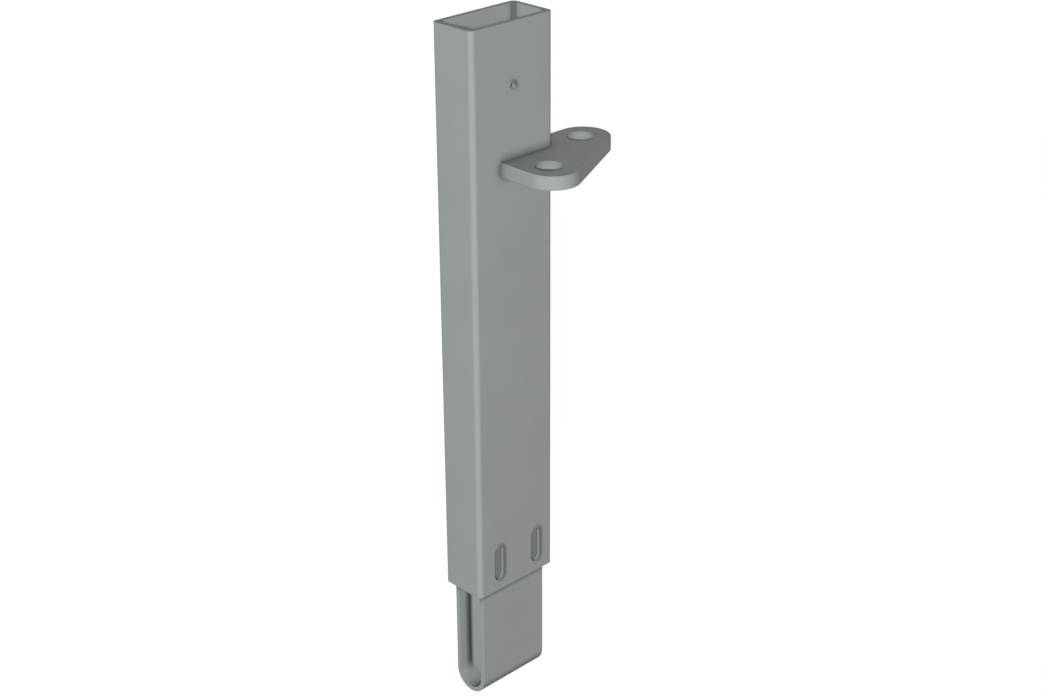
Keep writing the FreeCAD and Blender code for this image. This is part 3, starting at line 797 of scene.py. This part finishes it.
class FENCE_POST_OT_set_stage(bpy.types.Operator):
    """Set the floor, the lamps and the camera"""

    bl_idname = "fence_post.set_stage"
    bl_label = "Set the stage"

    def execute(self, context):
        _, _, stage = settings(context)
        scene = context.scene
        scene.view_settings.view_transform = "Standard"
        self.lay_floor(scene, stage)
        self.light_world(scene, stage)
        self.hang_lamp(scene, "key_lamp", stage.key_strength)
        self.hang_lamp(scene, "fill_lamp", stage.fill_strength)
        self.hang_lamp(scene, "side_lamp", stage.side_strength)
        self.hang_lamp(scene, "back_lamp", stage.back_strength)
        self.place_camera(scene, stage)
        return {"FINISHED"}

    def lay_floor(self, scene, stage):
        """The floor under the foot's lowest line."""
        reach = FLOOR_REACH
        mesh = bpy.data.meshes.new("floor")
        corners = [(-reach, -reach, 0.0), (reach, -reach, 0.0), (reach, reach, 0.0), (-reach, reach, 0.0)]
        mesh.from_pydata(corners, [], [(0, 1, 2, 3)])
        mesh.materials.append(plain_surface("pale_floor", stage.floor_color, FLOOR_GLOW))
        floor = bpy.data.objects.new("floor", mesh)
        scene.collection.objects.link(floor)

    def light_world(self, scene, stage):
        """Even light from all round, which the camera and the gloss see as white."""
        world = bpy.data.worlds.new("studio")
        scene.world = world
        world.use_nodes = True
        graph = Graph(world.node_tree)
        direct = graph.background_rays()
        light = graph.add("ShaderNodeBackground", {"Color": WHITE, "Strength": stage.sky_strength})
        backdrop = graph.add("ShaderNodeBackground", {"Color": WHITE, "Strength": 1.0})
        mixed = graph.add("ShaderNodeMixShader", {0: direct, 1: light.outputs[0], 2: backdrop.outputs[0]})
        graph.add("ShaderNodeOutputWorld", {"Surface": mixed.outputs[0]})

    def hang_lamp(self, scene, name, strength):
        """A round soft lamp that gives white paper the stated brightness."""
        azimuth, elevation, distance, size, color = LAMPS[name]
        turn, rise = math.radians(azimuth), math.radians(elevation)
        back = Vector((-math.sin(turn) * math.cos(rise), -math.cos(turn) * math.cos(rise), math.sin(rise)))
        light = bpy.data.lights.new(name, "AREA")
        light.shape = "DISK"
        light.size = size
        light.energy = strength * (math.pi * distance) ** 2
        light.color = color
        lamp = bpy.data.objects.new(name, light)
        lamp.location = LAMP_TARGET + back * distance
        lamp.rotation_mode = "QUATERNION"
        lamp.rotation_quaternion = (-back).to_track_quat("-Z", "Y")
        lamp.visible_camera = False
        lamp.visible_glossy = False
        scene.collection.objects.link(lamp)

    def place_camera(self, scene, stage):
        """The camera that sees the post as the photograph does."""
        camera = bpy.data.cameras.new("camera")
        camera.sensor_width = 36.0
        camera.lens = stage.lens
        camera.clip_start = 0.01
        camera.clip_end = 100.0
        holder = bpy.data.objects.new("camera", camera)
        fall = math.cos(stage.camera_fall)
        view = Vector((
            math.sin(stage.camera_azimuth) * fall,
            math.cos(stage.camera_azimuth) * fall,
            -math.sin(stage.camera_fall)))
        holder.location = stage.camera_place
        holder.rotation_mode = "QUATERNION"
        roll = Quaternion((0.0, 0.0, 1.0), stage.camera_roll)
        holder.rotation_quaternion = view.to_track_quat("-Z", "Y") @ roll
        scene.collection.objects.link(holder)
        scene.camera = holder


class FENCE_POST_PT_panel(bpy.types.Panel):
    """Steps and settings of the corner fence post"""

    bl_label = "Fence post"
    bl_idname = "FENCE_POST_PT_panel"
    bl_space_type = "VIEW_3D"
    bl_region_type = "UI"
    bl_category = "Fence post"

    def draw(self, context):
        for operator in OPERATORS:
            self.layout.operator(operator.bl_idname)
        for group in settings(context):
            box = self.layout.box()
            for name in group.__annotations__:
                box.prop(group, name)


OPERATORS = (
    FENCE_POST_OT_coat_tube,
    FENCE_POST_OT_coat_lug,
    FENCE_POST_OT_coat_foot,
    FENCE_POST_OT_lay_beads,
    FENCE_POST_OT_fill_slots,
    FENCE_POST_OT_set_stage,
)
GROUPS = (CoatSettings, BeadSettings, StageSettings)


def register():
    for item in (*GROUPS, *OPERATORS, FENCE_POST_PT_panel):
        bpy.utils.register_class(item)
    bpy.types.Scene.fence_post_coat = PointerProperty(type=CoatSettings)
    bpy.types.Scene.fence_post_beads = PointerProperty(type=BeadSettings)
    bpy.types.Scene.fence_post_stage = PointerProperty(type=StageSettings)


def unregister():
    del bpy.types.Scene.fence_post_stage
    del bpy.types.Scene.fence_post_beads
    del bpy.types.Scene.fence_post_coat
    for item in reversed((*GROUPS, *OPERATORS, FENCE_POST_PT_panel)):
        bpy.utils.unregister_class(item)


def main():
    register()
    bpy.ops.fence_post.coat_tube()
    bpy.ops.fence_post.coat_lug()
    bpy.ops.fence_post.coat_foot()
    bpy.ops.fence_post.lay_beads()
    bpy.ops.fence_post.fill_slots()
    bpy.ops.fence_post.set_stage()


if __name__ == "__main__":
    main()
